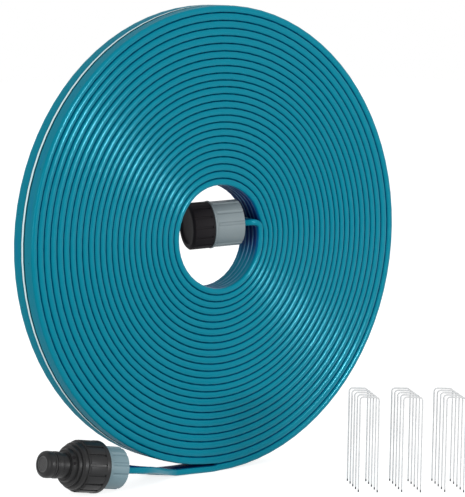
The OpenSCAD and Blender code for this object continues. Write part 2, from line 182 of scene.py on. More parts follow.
def blend_colours(tree, share, low, high):
    """A colour Mix node. low and high are colours or outputs."""
    mix = tree.nodes.new("ShaderNodeMix")
    mix.data_type = "RGBA"
    tree.links.new(share, mix.inputs["Factor"])
    for socket, value in ((mix.inputs[6], low), (mix.inputs[7], high)):
        if isinstance(value, tuple):
            socket.default_value = value
        else:
            tree.links.new(value, socket)
    return mix.outputs[2]


def raise_surface(tree, shader, height, strength, distance):
    bump = node_in(tree, "ShaderNodeBump", Strength=strength, Distance=distance)
    tree.links.new(height, bump.inputs["Height"])
    tree.links.new(bump.outputs["Normal"], shader.inputs["Normal"])


def moulded_plastic(name, plain, patch, gloss, depth=0.35, level=0.5):
    """Injection-moulded plastic: two close shades in slow patches, fine grain and light handling marks."""
    material, tree, shader = start_material(name, Specular_IOR_Level=level)
    grain = place_group(tree, MOULDED_GRAIN)
    marks = place_group(tree, HANDLING_MARKS)
    shades = blend_colours(tree, grain.outputs["Patches"], plain, patch)
    tree.links.new(shades, shader.inputs["Base Color"])
    roughness = math_node(tree, "ADD", marks.outputs["Gloss change"], gloss, clamp=True)
    tree.links.new(roughness, shader.inputs["Roughness"])
    raise_surface(tree, shader, grain.outputs["Height"], depth, 0.00004)
    return material


# Sizes of the hose in millimetres, for its skin and its shape.
HOSE_WIDTH, HOSE_THICK, HOSE_END_D = 21.6, 4.6, 15.4
RIB_STEP, HOLE_STEP, HOLE_ASIDE = 3.8, 30.0, 6.8
# Where the hose's look changes, in metres along it from inside the inlet nut.
OPEN_UNTIL, TEAL_INSIDE_AT = 1.1, 15.138


def hose_skin():
    """Soft vinyl: teal with a white stripe outside, and weep holes; the dark blue inside and the dark gap and
    groove lines are painted shade, and the lighter rib crests are partly wear and partly painted highlight.
    """
    material, tree, shader = start_material(
        "hose_skin", Specular_IOR_Level=0.26, Specular_Tint=(0.19, 0.8, 1.0, 1))
    calc, blend = partial(math_node, tree), partial(blend_colours, tree)
    where = node_in(tree, "ShaderNodeUVMap", uv_map="along_and_around")
    split = tree.nodes.new("ShaderNodeSeparateXYZ")
    tree.links.new(where.outputs[0], split.inputs[0])
    along, around = split.outputs["X"], split.outputs["Y"]
    # Distances from the middle of each face, in millimetres.
    outer = calc("MULTIPLY", calc("SUBTRACT", around, 0.25), 2 * HOSE_WIDTH)
    inner = calc("MULTIPLY", calc("SUBTRACT", around, 0.75), 2 * HOSE_WIDTH)

    def noise(rate_along, rate_around, detail, roughness):
        join = tree.nodes.new("ShaderNodeCombineXYZ")
        tree.links.new(calc("MULTIPLY", along, rate_along), join.inputs["X"])
        tree.links.new(calc("MULTIPLY", around, rate_around), join.inputs["Y"])
        made = node_in(tree, "ShaderNodeTexNoise", Scale=1.0, Detail=detail, Roughness=roughness)
        tree.links.new(join.outputs[0], made.inputs["Vector"])
        return made.outputs["Fac"]

    def within(distance, full, none):
        """1 at full and beyond it, 0 at none and beyond it, and eased between the two."""
        ramp = node_in(tree, "ShaderNodeMapRange", interpolation_type="SMOOTHSTEP",
                       From_Min=none, From_Max=full, To_Min=0.0, To_Max=1.0)
        tree.links.new(distance, ramp.inputs["Value"])
        return ramp.outputs["Result"]

    slow = noise(14, 3, 3.0, 0.5)
    draw_lines = noise(9, 260, 2.0, 0.6)
    clouds = noise(240, 60, 3.0, 0.6)
    from_stripe, from_inner = calc("ABSOLUTE", outer), calc("ABSOLUTE", inner)
    stripe = within(from_stripe, 0.8, 0.98)
    # Painted shade: the grooves beside the stripe are coloured dark for the shade in them.
    groove_shade = calc("SUBTRACT", within(from_stripe, 1.7, 2.2), stripe, clamp=True)
    shaded, inside = within(from_inner, 9.4, 10.1), within(from_inner, 7.2, 8.6)
    # The tail and the outermost loop lie in the open, so their faces get no painted gap shade and no rib wear
    # and sheen.
    covered = calc("GREATER_THAN", along, OPEN_UNTIL)
    painted_gap_shade = calc("MULTIPLY", calc("MULTIPLY", within(from_stripe, 9.6, 10.1), covered), 0.6)
    rib_at = calc("DIVIDE", inner, RIB_STEP)
    from_rib = calc("MULTIPLY", calc("ABSOLUTE", calc("SUBTRACT", rib_at, calc("ROUND", rib_at))), RIB_STEP)
    # Lighter rib crests on the inner face: partly rubbed wear, partly a painted highlight where the ribs
    # catch the light.
    wear_and_sheen_patches = calc("MULTIPLY", within(noise(45, 20, 3.0, 0.6), 0.62, 0.3), covered)
    rib_wear_and_sheen = calc("MULTIPLY", within(from_rib, 0.25, 0.75), wear_and_sheen_patches)
    # Weep holes, to the left and right of the stripe by turns.
    step = calc("DIVIDE", along, HOLE_STEP * MM)
    side = calc("SUBTRACT", calc("MULTIPLY", calc("MODULO", calc("FLOOR", step), 2.0), 2.0), 1.0)
    off_along = calc("MULTIPLY", calc("SUBTRACT", calc("FRACT", step), 0.5), HOLE_STEP)
    off_across = calc("SUBTRACT", outer, calc("MULTIPLY", side, HOLE_ASIDE))
    squares = [calc("MULTIPLY", off, off) for off in (off_along, off_across)]
    hole = within(calc("SQRT", calc("ADD", *squares)), 0.22, 0.42)

    teal = blend(slow, paint(0, 117, 139), paint(0, 123, 143))
    teal = blend(calc("MULTIPLY", clouds, 0.10), teal, paint(0, 138, 162))
    near_edge, patches = within(from_stripe, 8.2, 10.0), within(noise(30, 12, 2.0, 0.5), 0.75, 0.5)
    teal = blend(calc("MULTIPLY", near_edge, patches), teal, paint(0, 116, 150))
    # Painted shade: the inner face is dark blue for the shade between the loops, and turns back to teal just
    # before the fold, where that face lies in the light.
    lit_before_fold = within(calc("ABSOLUTE", calc("SUBTRACT", along, TEAL_INSIDE_AT)), 0.010, 0.030)
    inner_shade_paint = blend(lit_before_fold, paint(0, 30, 90), paint(0, 110, 136))
    inner_shade_paint = blend(calc("MULTIPLY", rib_wear_and_sheen, inside), inner_shade_paint, paint(96, 146, 182))
    # Painted shade: bluer, darker strips next to the edges of both faces stand in for the shade in the gaps
    # between loops.
    faces = blend(painted_gap_shade, teal, paint(0, 86, 146))
    faces = blend(shaded, faces, blend(lit_before_fold, paint(0, 86, 140), paint(0, 112, 138)))
    for share, colour in ((inside, inner_shade_paint), (groove_shade, paint(0, 62, 74)), (stripe, paint(222, 246, 250)),
                          (hole, paint(0, 24, 40))):
        faces = blend(share, faces, colour)
    tree.links.new(faces, shader.inputs["Base Color"])
    # The two flat faces are duller than the polished edges.
    flat = calc("MAXIMUM", within(from_stripe, 8.8, 9.8), within(from_inner, 8.8, 9.8))
    dull = calc("ADD", calc("MULTIPLY", flat, 0.45), calc("MULTIPLY", clouds, 0.08))
    tree.links.new(calc("ADD", dull, 0.12, clamp=True), shader.inputs["Roughness"])
    height = calc("SUBTRACT", calc("MULTIPLY", draw_lines, 0.2), hole)
    raise_surface(tree, shader, height, 0.3, 0.0002)
    return material


def sealing_rubber():
    """Black rubber with a dusty bloom in patches."""
    material, tree, shader = start_material("sealing_rubber", Specular_IOR_Level=0.35)
    grain = place_group(tree, MOULDED_GRAIN, Grain_size=0.0002, Patch_size=0.004)
    patches = grain.outputs["Patches"]
    shades = blend_colours(tree, patches, paint(22, 22, 23), paint(40, 40, 41))
    tree.links.new(shades, shader.inputs["Base Color"])
    roughness = math_node(tree, "ADD", math_node(tree, "MULTIPLY", patches, 0.2), 0.5)
    tree.links.new(roughness, shader.inputs["Roughness"])
    raise_surface(tree, shader, grain.outputs["Height"], 0.3, 0.00003)
    return material


# Height of the staples' dark tips, in millimetres.
DARK_TIP = 1.6


def zinc_wire():
    """Galvanised wire: a pale coat with spangle, darker where it is rubbed and at the cut tips."""
    material, tree, shader = start_material("zinc_wire", Specular_IOR_Level=0.4)
    calc, blend = partial(math_node, tree), partial(blend_colours, tree)
    where = tree.nodes.new("ShaderNodeTexCoord")
    split = tree.nodes.new("ShaderNodeSeparateXYZ")
    tree.links.new(where.outputs["Object"], split.inputs[0])
    spangle = node_in(tree, "ShaderNodeTexVoronoi", Scale=900.0)
    tree.links.new(where.outputs["Object"], spangle.inputs["Vector"])
    marks = place_group(tree, HANDLING_MARKS, Amount=0.25, Length=0.003)
    grain = place_group(tree, MOULDED_GRAIN, Grain_size=0.0004, Patch_size=0.006)
    coat = blend(spangle.outputs["Distance"], paint(228, 228, 228), paint(210, 211, 212))
    coat = blend(calc("MULTIPLY", marks.outputs["Scratches"], 0.4), coat, paint(140, 141, 143))
    tip = calc("LESS_THAN", split.outputs["Z"], DARK_TIP * MM)
    tree.links.new(blend(tip, coat, paint(74, 74, 76)), shader.inputs["Base Color"])
    roughness = calc("ADD", marks.outputs["Gloss change"], 0.5, clamp=True)
    tree.links.new(roughness, shader.inputs["Roughness"])
    raise_surface(tree, shader, grain.outputs["Height"], 0.25, 0.00004)
    return material


HOSE = hose_skin()
GREY = moulded_plastic("nut_plastic", paint(112, 138, 147), paint(122, 147, 155), 0.42, level=0.3)
PALE = moulded_plastic("end_nut_plastic", paint(122, 134, 138), paint(131, 142, 145), 0.45, level=0.25)
BLACK = moulded_plastic("collar_plastic", paint(24, 24, 25), paint(32, 32, 33), 0.40, level=0.25)
JET = moulded_plastic("cap_plastic", paint(32, 30, 32), paint(38, 36, 38), 0.6, level=0.05)
DARK = moulded_plastic("strainer_plastic", paint(86, 86, 87), paint(96, 96, 96), 0.5, level=0.25)
ACETAL = moulded_plastic("acetal", paint(225, 224, 218), paint(212, 211, 204), 0.33, depth=0.15)
RUBBER = sealing_rubber()
WIRE = zinc_wire()

# ---- Making and mounting pieces ----


def mount(name, mesh, body, slot, *nodes):
    """Makes a piece of a finished mesh, sets it on its body, and lets it stand for CAD nodes."""
    piece = in_scene(name, mesh)
    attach(piece, body)
    if nodes:
        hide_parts(*nodes)
    return piece


def coat_mesh(mesh, material, crease):
    """Gives a mesh its material and smooths it, but for edges sharper than crease degrees."""
    mesh.materials.append(material)
    mesh.polygons.foreach_set("use_smooth", [True] * len(mesh.polygons))
    mesh.set_sharp_from_angle(angle=math.radians(crease))
    return mesh


def skin_mesh(name, points, faces, material, crease=35, weld=None):
    """A smooth closed mesh with its faces outwards and its creases kept sharp."""
    mesh = bpy.data.meshes.new(name)
    mesh.from_pydata(points, [], faces)
    work = bmesh.new()
    work.from_mesh(mesh)
    if weld:
        bmesh.ops.remove_doubles(work, verts=work.verts, dist=weld)
    bmesh.ops.recalc_face_normals(work, faces=work.faces)
    work.to_mesh(mesh)
    work.free()
    return coat_mesh(mesh, material, crease)


def rounded(corners, arc=4):
    """A closed outline of (radius, height, rounding) corners, with each corner rounded off."""
    out = []
    for i, (r, z, cut) in enumerate(corners):
        here = Vector((r, z))
        if cut <= 0:
            out.append(here)
            continue
        before = Vector(corners[i - 1][:2]) - here
        after = Vector(corners[(i + 1) % len(corners)][:2]) - here
        reach = min(cut, before.length * 0.48, after.length * 0.48)
        start, end = here + before.normalized() * reach, here + after.normalized() * reach
        for k in range(arc + 1):
            t = k / arc
            out.append(start * (1 - t) ** 2 + here * 2 * t * (1 - t) + end * t * t)
    return out


def turned(name, corners, place, material, angles=96, shape=None, crease=35):
    """Turns a closed outline round the fitting's axis. shape(angle, radius, height) gives a new radius."""
    outline = rounded(corners)
    if isinstance(angles, int):
        angles = [360 * k / angles for k in range(angles)]
    points, n = [], len(outline)
    for a in angles:
        c, s = math.cos(math.radians(a)), math.sin(math.radians(a))
        for r, z in outline:
            r = shape(a, r, z) if shape else r
            points.append(place @ Vector((r * c, r * s, z)) * MM)
    faces = []
    for k in range(len(angles)):
        a, b = k * n, (k + 1) % len(angles) * n
        faces += [(a + q, a + (q + 1) % n, b + (q + 1) % n, b + q) for q in range(n)]
    on_axis = any(r < 1e-6 for r, z in outline)
    return skin_mesh(name, points, faces, material, crease, weld=1e-7 if on_axis else None)


def around(count, first, offsets):
    """Angles of the offsets about each of count evenly spaced places, the first one at first."""
    return sorted((first + k * 360 / count + d) % 360 for k in range(count) for d in offsets)


# ---- Geometry node trees for what repeats or follows a path ----


def geometry_tree(name, inputs):
    tree = bpy.data.node_groups.new(name, "GeometryNodeTree")
    tree.interface.new_socket(name="Geometry", in_out="INPUT", socket_type="NodeSocketGeometry")
    for socket, kind in inputs:
        tree.interface.new_socket(name=socket, in_out="INPUT", socket_type=kind)
    tree.interface.new_socket(name="Geometry", in_out="OUTPUT", socket_type="NodeSocketGeometry")
    return tree, tree.nodes.new("NodeGroupInput"), tree.nodes.new("NodeGroupOutput")


def end_tree(tree, given, out, geometry):
    """Ends a tree: instances are made real and get the finish."""
    real = tree.nodes.new("GeometryNodeRealizeInstances")
    tree.links.new(geometry, real.inputs[0])
    coat = tree.nodes.new("GeometryNodeSetMaterial")
    tree.links.new(real.outputs[0], coat.inputs[0])
    tree.links.new(given.outputs["Finish"], coat.inputs["Material"])
    tree.links.new(coat.outputs[0], out.inputs[0])
    return tree


def along_z(tree, height):
    """A vector, or a turn, of this much along z."""
    join = tree.nodes.new("ShaderNodeCombineXYZ")
    tree.links.new(height, join.inputs["Z"])
    return join.outputs[0]


def lifted(tree, geometry, height):
    lift = tree.nodes.new("GeometryNodeTransform")
    tree.links.new(geometry, lift.inputs[0])
    tree.links.new(along_z(tree, height), lift.inputs["Translation"])
    return lift.outputs[0]


def copied(tree, points, piece, turn):
    """Sets a copy of the piece on each point, turned about z."""
    copies = tree.nodes.new("GeometryNodeInstanceOnPoints")
    tree.links.new(points, copies.inputs["Points"])
    tree.links.new(piece, copies.inputs["Instance"])
    tree.links.new(along_z(tree, turn), copies.inputs["Rotation"])
    return copies.outputs[0]


def swept(tree, curve, radius, sides, scale=None):
    """Sweeps a circle along a curve and closes the ends."""
    profile = tree.nodes.new("GeometryNodeCurvePrimitiveCircle")
    profile.inputs["Resolution"].default_value = sides
    tree.links.new(radius, profile.inputs["Radius"])
    sweep = tree.nodes.new("GeometryNodeCurveToMesh")
    sweep.inputs["Fill Caps"].default_value = True
    tree.links.new(curve, sweep.inputs["Curve"])
    tree.links.new(profile.outputs[0], sweep.inputs["Profile Curve"])
    if scale is not None:
        tree.links.new(scale, sweep.inputs["Scale"])
    return sweep.outputs[0]


def from_nearer_end(tree):
    """How far a point of a curve lies from the nearer end, as a share of the length."""
    part = tree.nodes.new("GeometryNodeSplineParameter").outputs["Factor"]
    return math_node(tree, "MINIMUM", part, math_node(tree, "SUBTRACT", 1.0, part))


def repeat_round_axis():
    """Repeats one piece round the fitting's axis."""
    tree, given, out = geometry_tree("repeat_round_axis", [
        ("Count", "NodeSocketInt"), ("First angle", "NodeSocketFloat"), ("Finish", "NodeSocketMaterial")])
    calc = partial(math_node, tree)
    points = tree.nodes.new("GeometryNodePoints")
    tree.links.new(given.outputs["Count"], points.inputs["Count"])
    index = tree.nodes.new("GeometryNodeInputIndex")
    turned_by = calc("DIVIDE", calc("MULTIPLY", index.outputs[0], math.tau), given.outputs["Count"])
    angle = calc("ADD", turned_by, given.outputs["First angle"])
    return end_tree(tree, given, out, copied(tree, points.outputs[0], given.outputs["Geometry"], angle))


def screw_thread():
    """A ridge that winds up a cylinder and runs out at both ends."""
    tree, given, out = geometry_tree("screw_thread", [
        ("Crest radius", "NodeSocketFloat"), ("Ridge", "NodeSocketFloat"), ("Pitch", "NodeSocketFloat"),
        ("Turns", "NodeSocketFloat"), ("Start", "NodeSocketFloat"), ("Finish", "NodeSocketMaterial")])
    calc = partial(math_node, tree)
    spiral = tree.nodes.new("GeometryNodeCurveSpiral")
    spiral.inputs["Resolution"].default_value = 48
    radius = calc("SUBTRACT", given.outputs["Crest radius"], given.outputs["Ridge"])
    tree.links.new(given.outputs["Turns"], spiral.inputs["Rotations"])
    tree.links.new(radius, spiral.inputs["Start Radius"])
    tree.links.new(radius, spiral.inputs["End Radius"])
    length = calc("MULTIPLY", given.outputs["Turns"], given.outputs["Pitch"])
    tree.links.new(length, spiral.inputs["Height"])
    lean = tree.nodes.new("GeometryNodeSetCurveNormal")
    lean.mode = "Z_UP"
    tree.links.new(spiral.outputs[0], lean.inputs[0])
    taper = calc("MULTIPLY", from_nearer_end(tree), 14.0, clamp=True)
    ridge = swept(tree, lean.outputs[0], given.outputs["Ridge"], 4, taper)
    return end_tree(tree, given, out, lifted(tree, ridge, given.outputs["Start"]))


def staple_bundle():
    """Bends a wire along its corner points and sets copies in a row."""
    tree, given, out = geometry_tree("staple_bundle", [
        ("Wire", "NodeSocketFloat"), ("Shoulder", "NodeSocketFloat"), ("Count", "NodeSocketInt"),
        ("Step", "NodeSocketVector"), ("Turn", "NodeSocketFloat"), ("Finish", "NodeSocketMaterial")])
    calc = partial(math_node, tree)
    path = tree.nodes.new("GeometryNodeMeshToCurve")
    tree.links.new(given.outputs["Geometry"], path.inputs[0])
    bend = tree.nodes.new("GeometryNodeFilletCurve")
    bend.mode = "POLY"
    bend.inputs["Count"].default_value = 8
    tree.links.new(path.outputs[0], bend.inputs["Curve"])
    tree.links.new(given.outputs["Shoulder"], bend.inputs["Radius"])
    # Each leg thins a little from its shoulder down to its tip.
    point = calc("ADD", calc("MULTIPLY", from_nearer_end(tree), 60.0), 0.85)
    radius = calc("MULTIPLY", given.outputs["Wire"], 0.5)
    wire = swept(tree, bend.outputs[0], radius, 16, calc("MINIMUM", point, 1.0))
    smooth = tree.nodes.new("GeometryNodeSetShadeSmooth")
    tree.links.new(wire, smooth.inputs[0])
    row = tree.nodes.new("GeometryNodeMeshLine")
    row.mode = "OFFSET"
    tree.links.new(given.outputs["Count"], row.inputs["Count"])
    tree.links.new(given.outputs["Step"], row.inputs["Offset"])
    staples = copied(tree, row.outputs[0], smooth.outputs[0], given.outputs["Turn"])
    return end_tree(tree, given, out, staples)


def strainer_weave():
    """Crossed threads of a strainer screen, cut to a round."""
    tree, given, out = geometry_tree("strainer_weave", [
        ("Across", "NodeSocketFloat"), ("Threads", "NodeSocketInt"), ("Thread", "NodeSocketFloat"),
        ("Height", "NodeSocketFloat"), ("Finish", "NodeSocketMaterial")])
    calc = partial(math_node, tree)
    grid = tree.nodes.new("GeometryNodeMeshGrid")
    for given_name, sockets in (("Across", ("Size X", "Size Y")), ("Threads", ("Vertices X", "Vertices Y"))):
        for socket in sockets:
            tree.links.new(given.outputs[given_name], grid.inputs[socket])
    where = tree.nodes.new("GeometryNodeInputPosition")
    far = tree.nodes.new("ShaderNodeVectorMath")
    far.operation = "LENGTH"
    tree.links.new(where.outputs[0], far.inputs[0])
    outside = tree.nodes.new("FunctionNodeCompare")
    outside.operation = "GREATER_THAN"
    tree.links.new(far.outputs["Value"], outside.inputs[0])
    tree.links.new(calc("MULTIPLY", given.outputs["Across"], 0.49), outside.inputs[1])
    cut = tree.nodes.new("GeometryNodeDeleteGeometry")
    cut.domain, cut.mode = "POINT", "ALL"
    tree.links.new(grid.outputs[0], cut.inputs[0])
    tree.links.new(outside.outputs[0], cut.inputs["Selection"])
    path = tree.nodes.new("GeometryNodeMeshToCurve")
    tree.links.new(cut.outputs[0], path.inputs[0])
    threads = swept(tree, path.outputs[0], calc("MULTIPLY", given.outputs["Thread"], 0.5), 6)
    return end_tree(tree, given, out, lifted(tree, threads, given.outputs["Height"]))


def grown(name, base, tree, place, **settings):
    """Runs a tree on a base mesh, in millimetres, and gives its result as a plain mesh in its place."""
    tool = in_scene(name + "_tool", base or bpy.data.meshes.new(name + "_start"))
    modifier = tool.modifiers.new("grow", "NODES")
    modifier.node_group = tree
    for item in tree.interface.items_tree:
        key = item.name.replace(" ", "_")
        if item.in_out == "INPUT" and key in settings:
            modifier[item.identifier] = settings[key]
    seen = bpy.context.evaluated_depsgraph_get()
    mesh = bpy.data.meshes.new_from_object(tool.evaluated_get(seen))
    bpy.data.objects.remove(tool)
    mesh.name = name
    mesh.transform(Matrix.Scale(MM, 4) @ place)
    return mesh


REPEAT_ROUND_AXIS = repeat_round_axis()
SCREW_THREAD = screw_thread()
STAPLE_BUNDLE = staple_bundle()
STRAINER_WEAVE = strainer_weave()

# ---- Places of the two fittings. Their z axis runs from the clamp nut's back to its front. ----

COIL_MIDDLE_Z = 159.5475
INLET_TILT, INLET_AT = math.radians(9), Vector((-92, -18, 14.2506))
END_YAW, END_TURN, END_AT = math.radians(18.5), math.radians(94), Vector((23.2851, 2.0883, 168.9429))
INLET = Matrix.Translation(INLET_AT) @ Matrix.Rotation(INLET_TILT - math.pi / 2, 4, "Y")
END = Matrix.Translation(END_AT) @ Matrix.Rotation(-END_YAW, 4, "Z") @ Matrix.Rotation(-END_TURN, 4, "Y")
COIL_SIDE = Vector((0, 1, 0))
INLET_AXIS, INLET_UP = INLET.to_3x3() @ UP, INLET.to_3x3() @ Vector((1, 0, 0))
END_AXIS, END_UP = END.to_3x3() @ UP, END.to_3x3() @ Vector((1, 0, 0))

# ---- Hose ----

OUTER_R, INNER_R, TURNS = 157.75, 34.69, 25.25
PITCH = (OUTER_R - INNER_R) / TURNS
# How the loops stand off an even spiral, in millimetres. Loops are counted from the innermost one outwards.
TIGHTER = [(1, 0), (4, 0.4), (7.5, 1.0), (11, 1.4), (14, 1.7), (16, 2.4), (19, 2.3), (23, 1.6), (25.25, 0.3)]
LEAN = [(0, 1.9), (4, 1.9), (7, 1.6), (11, 0.8), (23, 1.1), (25.25, 0.1)]
LEAN_TO, LEAN_EASED_OVER = math.radians(155), 4
# How far the loops sag by degrees past the fold, and the share of it that each next loop keeps.
SAG_PAST_FOLD, SAG_KEPT = [(5, 0), (22, 1.4), (42, 0.6), (90, 0.5), (130, 0)], 0.7
FOLD_R, FOLD_FROM, FOLD_STEPS = 4, 11, 14
LAST_TURN = TURNS + FOLD_FROM / 360
# Each half of the hose's thickness may shrink or swell so far to meet the next loop, less a clearance.
THINNEST, THICKEST, LOOP_CLEARANCE = 0.8, 1.3, 0.006
# Degrees between stations on the outermost loop, and stations to each stretch of the tail.
COIL_STEP, TAIL_STEPS = 4.3, 5
TAIL_ROUTE = [(-21, 0, 1.95), (-35, 0, 2.3), (-41, -0.9, 2.9), (-48, -3.4, 4.2), (-55, -6.9, 5.9),
              (-62, -10.7, 7.8), (-69, -14.3, 9.7), (-76, -17, 11.4), (-83, -18, 12.8)]
# How far the tail is rolled, and the length at each end over which the roll fades.
TAIL_ROLL, ROLL_OVER = math.radians(4), 26
# How round the hose is inside each nut, by distance along the fitting's axis.
ROUND_AT_INLET = [(17.2, 1), (11, 1), (4.8, 1), (3.6, 0.86), (2.4, 0.5), (1.2, 0.14)]
ROUND_AT_END = [(-5.5, 0.03), (-3, 0.1), (0, 0.2), (1.2, 0.3), (2.4, 0.5), (3.6, 0.86), (4.8, 1), (11, 1),
                (21.2, 1)]
# Where the two faces end, in millimetres from the middle.
EDGE_FROM = 9.3
# How far the outer and the inner face lie under the full thickness, by distance from the middle.
OUTER_FACE = [(0, 0.0), (0.95, 0.02), (1.25, 0.42), (2.2, 0.42), (3.4, 0.0), (6.8, 0.3), (8.0, 0.12),
              (EDGE_FROM, 0.14)]
INNER_FACE = [(0, 0.0), (0.55, 0.2), (1.9, 0.4), (3.25, 0.2), (3.8, 0.0), (4.35, 0.2), (5.7, 0.4),
              (7.05, 0.2), (7.6, 0.0), (EDGE_FROM, 0.16)]
# The rounded edge: (distance through from the middle, distance under the full width).
EDGE = [(2.08, 1.25), (1.95, 0.85), (1.7, 0.5), (1.3, 0.24), (0.7, 0.06), (0, 0)]


def hose_section():
    """Points (across, through, around) of the flat hose: outer face, one edge, inner face, other edge.

    Around goes from 0 to 1: the outer face's middle is at 0.25, the inner face's at 0.75.
    """
    half_w, half_t = HOSE_WIDTH / 2, HOSE_THICK / 2

    def both_sides(face):
        return [(-x, d) for x, d in face[::-1]] + face[1:]

    def edge(side):
        down = [(side * (half_w - cut), side * y, side < 0) for y, cut in EDGE]
        return down + [(x, -y, side > 0) for x, y, low in down[-2::-1]]

    def spot(x, low):
        share = (x / half_w + 1) / 4
        return 1 - share if low else share

    outer = [(x, half_t - d, False) for x, d in both_sides(OUTER_FACE)]
    inner = [(x, d - half_t, True) for x, d in both_sides(INNER_FACE)[::-1]]
    return [(x, y, spot(x, low)) for x, y, low in outer + edge(1) + inner + edge(-1)]


def eased(share):
    share = min(max(share, 0), 1)
    return share * share * (3 - 2 * share)


def read_off(table, x):
    """The value at x from rows of (x, value), eased between the rows."""
    for (x0, low), (x1, high) in zip(table, table[1:]):
        if x < x1:
            return low + (high - low) * eased((x - x0) / (x1 - x0))
    return table[-1][1]


def loop_radius(turn):
    """Radius of the hose's middle after so many turns, counted from the bottom of the outermost loop."""
    inwards = max(TURNS - turn, 0)
    lean = read_off(LEAN, inwards) * math.cos(math.tau * turn - math.pi / 2 - LEAN_TO)
    # The innermost loops lean inwards less than the others.
    if lean < 0:
        lean *= eased(inwards / LEAN_EASED_OVER)
    past_fold = 360 * (math.ceil(inwards) - inwards)
    sag = read_off(SAG_PAST_FOLD, past_fold) * SAG_KEPT ** (math.ceil(inwards) - 1)
    return INNER_R + PITCH * inwards + lean - read_off(TIGHTER, inwards) - sag


def smooth_line(points, each):
    """Points of a smooth curve through the given points, each many to a stretch."""
    out = []
    for i in range(len(points) - 1):
        a, b, c, d = (points[min(max(i + k, 0), len(points) - 1)] for k in (-1, 0, 1, 2))
        for k in range(each):
            t = k / each
            curve = (2 * a - 5 * b + 4 * c - d) * t * t + (3 * b - a - 3 * c + d) * t ** 3
            out.append(0.5 * (2 * b + (c - a) * t + curve))
    return out + [points[-1]]


def room(turn, way):
    """The share of its full thickness that the outer (way -1) or inner (way 1) half of the hose has."""
    if turn + way < 0 or turn + way > LAST_TURN:
        return 1
    gap = abs(loop_radius(turn) - loop_radius(turn + way))
    return min(max(gap / HOSE_THICK - LOOP_CLEARANCE, THINNEST), THICKEST)


def tail_stations():
    """From the inlet nut's back down to the bottom of the outermost loop, rolled a little on the way."""
    stations = []
    route = [INLET_AT] + [Vector(p) for p in TAIL_ROUTE[::-1]] + [Vector((0, 0, COIL_MIDDLE_Z - OUTER_R))]
    line = smooth_line(route, TAIL_STEPS)
    for i, here in enumerate(line[:-1]):
        before = line[i - 1] if i else here + INLET_AXIS
        ahead = (line[i + 1] - before).normalized()
        roll = TAIL_ROLL * eased(-here.x / ROLL_OVER) * eased((here - INLET_AT).length / ROLL_OVER)
        across = Matrix.Rotation(-roll, 3, ahead) @ UP.cross(ahead).normalized()
        stations.append((here, across, across.cross(ahead), 0, 1, 1))
    return stations


def coil_stations():
    stations, turn = [], 0.0
    while turn < LAST_TURN:
        r, a = loop_radius(turn), math.tau * turn - math.pi / 2
        out = Vector((math.cos(a), 0, math.sin(a)))
        here = out * r + UP * COIL_MIDDLE_Z
        stations.append((here, COIL_SIDE, out, 0, room(turn, -1), room(turn, 1)))
        turn += COIL_STEP * math.sqrt(OUTER_R / r) / 360
    return stations


def fold_stations():
    """The hose turns from the innermost loop to the way of the end fitting, and leans sideways with it."""
    stations, first = [], math.radians(FOLD_FROM)
    corner = Vector((math.cos(first), 0, math.sin(first))) * (INNER_R - FOLD_R) + UP * COIL_MIDDLE_Z
    last = corner + Vector((math.cos(END_TURN), 0, math.sin(END_TURN))) * FOLD_R
    shift = END_AT.y - END_AXIS.y * (END_AT.x - last.x) / END_AXIS.x
    for k in range(FOLD_STEPS + 1):
        b = first + (END_TURN - first) * k / FOLD_STEPS
        yaw = END_YAW * (1 - math.cos(b - first)) / (1 - math.cos(END_TURN - first))
        way = Vector((-math.cos(yaw) * math.sin(b), math.sin(yaw) * math.sin(b), math.cos(b)))
        across = Vector((math.sin(yaw), math.cos(yaw), 0))
        here = corner + Vector((FOLD_R * math.cos(b), shift * eased(k / FOLD_STEPS), FOLD_R * math.sin(b)))
        stations.append((here, across, across.cross(way), 0, 1, 1))
    return stations


def hose_stations():
    """(middle, side, outwards, roundness, outer and inner thickness) from one nut to the other."""
    inlet = [(INLET_AT + INLET_AXIS * s, COIL_SIDE, -INLET_UP, r, 1, 1) for s, r in ROUND_AT_INLET]
    end = [(END_AT + END_AXIS * s, END_AXIS.cross(END_UP), END_UP, r, 1, 1) for s, r in ROUND_AT_END]
    return inlet + tail_stations() + coil_stations() + fold_stations() + end


def make_hose():
    section, stations = hose_section(), hose_stations()
    n, points, along, length = len(section), [], [], 0.0
    for i, (middle, side, out, roundness, outer_half, inner_half) in enumerate(stations):
        length += (middle - stations[i - 1][0]).length if i else 0
        along.append(length * MM)
        for x, y, spot in section:
            p = middle + side * x + out * y * (outer_half if y > 0 else inner_half)
            if roundness:
                a = math.tau * spot
                p = p.lerp(middle + (out * math.sin(a) - side * math.cos(a)) * HOSE_END_D / 2, roundness)
            points.append(Vector((p.x, p.y, max(p.z, 0))) * MM)
    faces, marks = [], []
    for i in range(len(stations) - 1):
        for q in range(n):
            w = (q + 1) % n
            a, b = i * n + q, i * n + w
            faces.append((a, a + n, b + n, b))
            low, high = section[q][2], section[w][2]
            high += 1 if high < low - 0.5 else 0
            marks += [(along[i], low), (along[i + 1], low), (along[i + 1], high), (along[i], high)]
    for first, order in ((0, 1), ((len(stations) - 1) * n, -1)):
        faces.append(tuple(range(first, first + n))[::order])
        marks += [(along[0 if order > 0 else -1], 0.25)] * n
    mesh = bpy.data.meshes.new("soaker_hose")
    mesh.from_pydata(points, [], faces)
    layer = mesh.uv_layers.new(name="along_and_around")
    layer.data.foreach_set("uv", [v for mark in marks for v in mark])
    coat_mesh(mesh, HOSE, 50)
    work = bmesh.new()
    work.from_mesh(mesh)
    if work.calc_volume(signed=True) < 0:
        bmesh.ops.reverse_faces(work, faces=work.faces)
        work.to_mesh(mesh)
    work.free()
    piece = mount("soaker_hose", mesh, "hose", "hose", "hose_coil", "hose_tail")


make_hose()

# ---- Clamp nuts ----

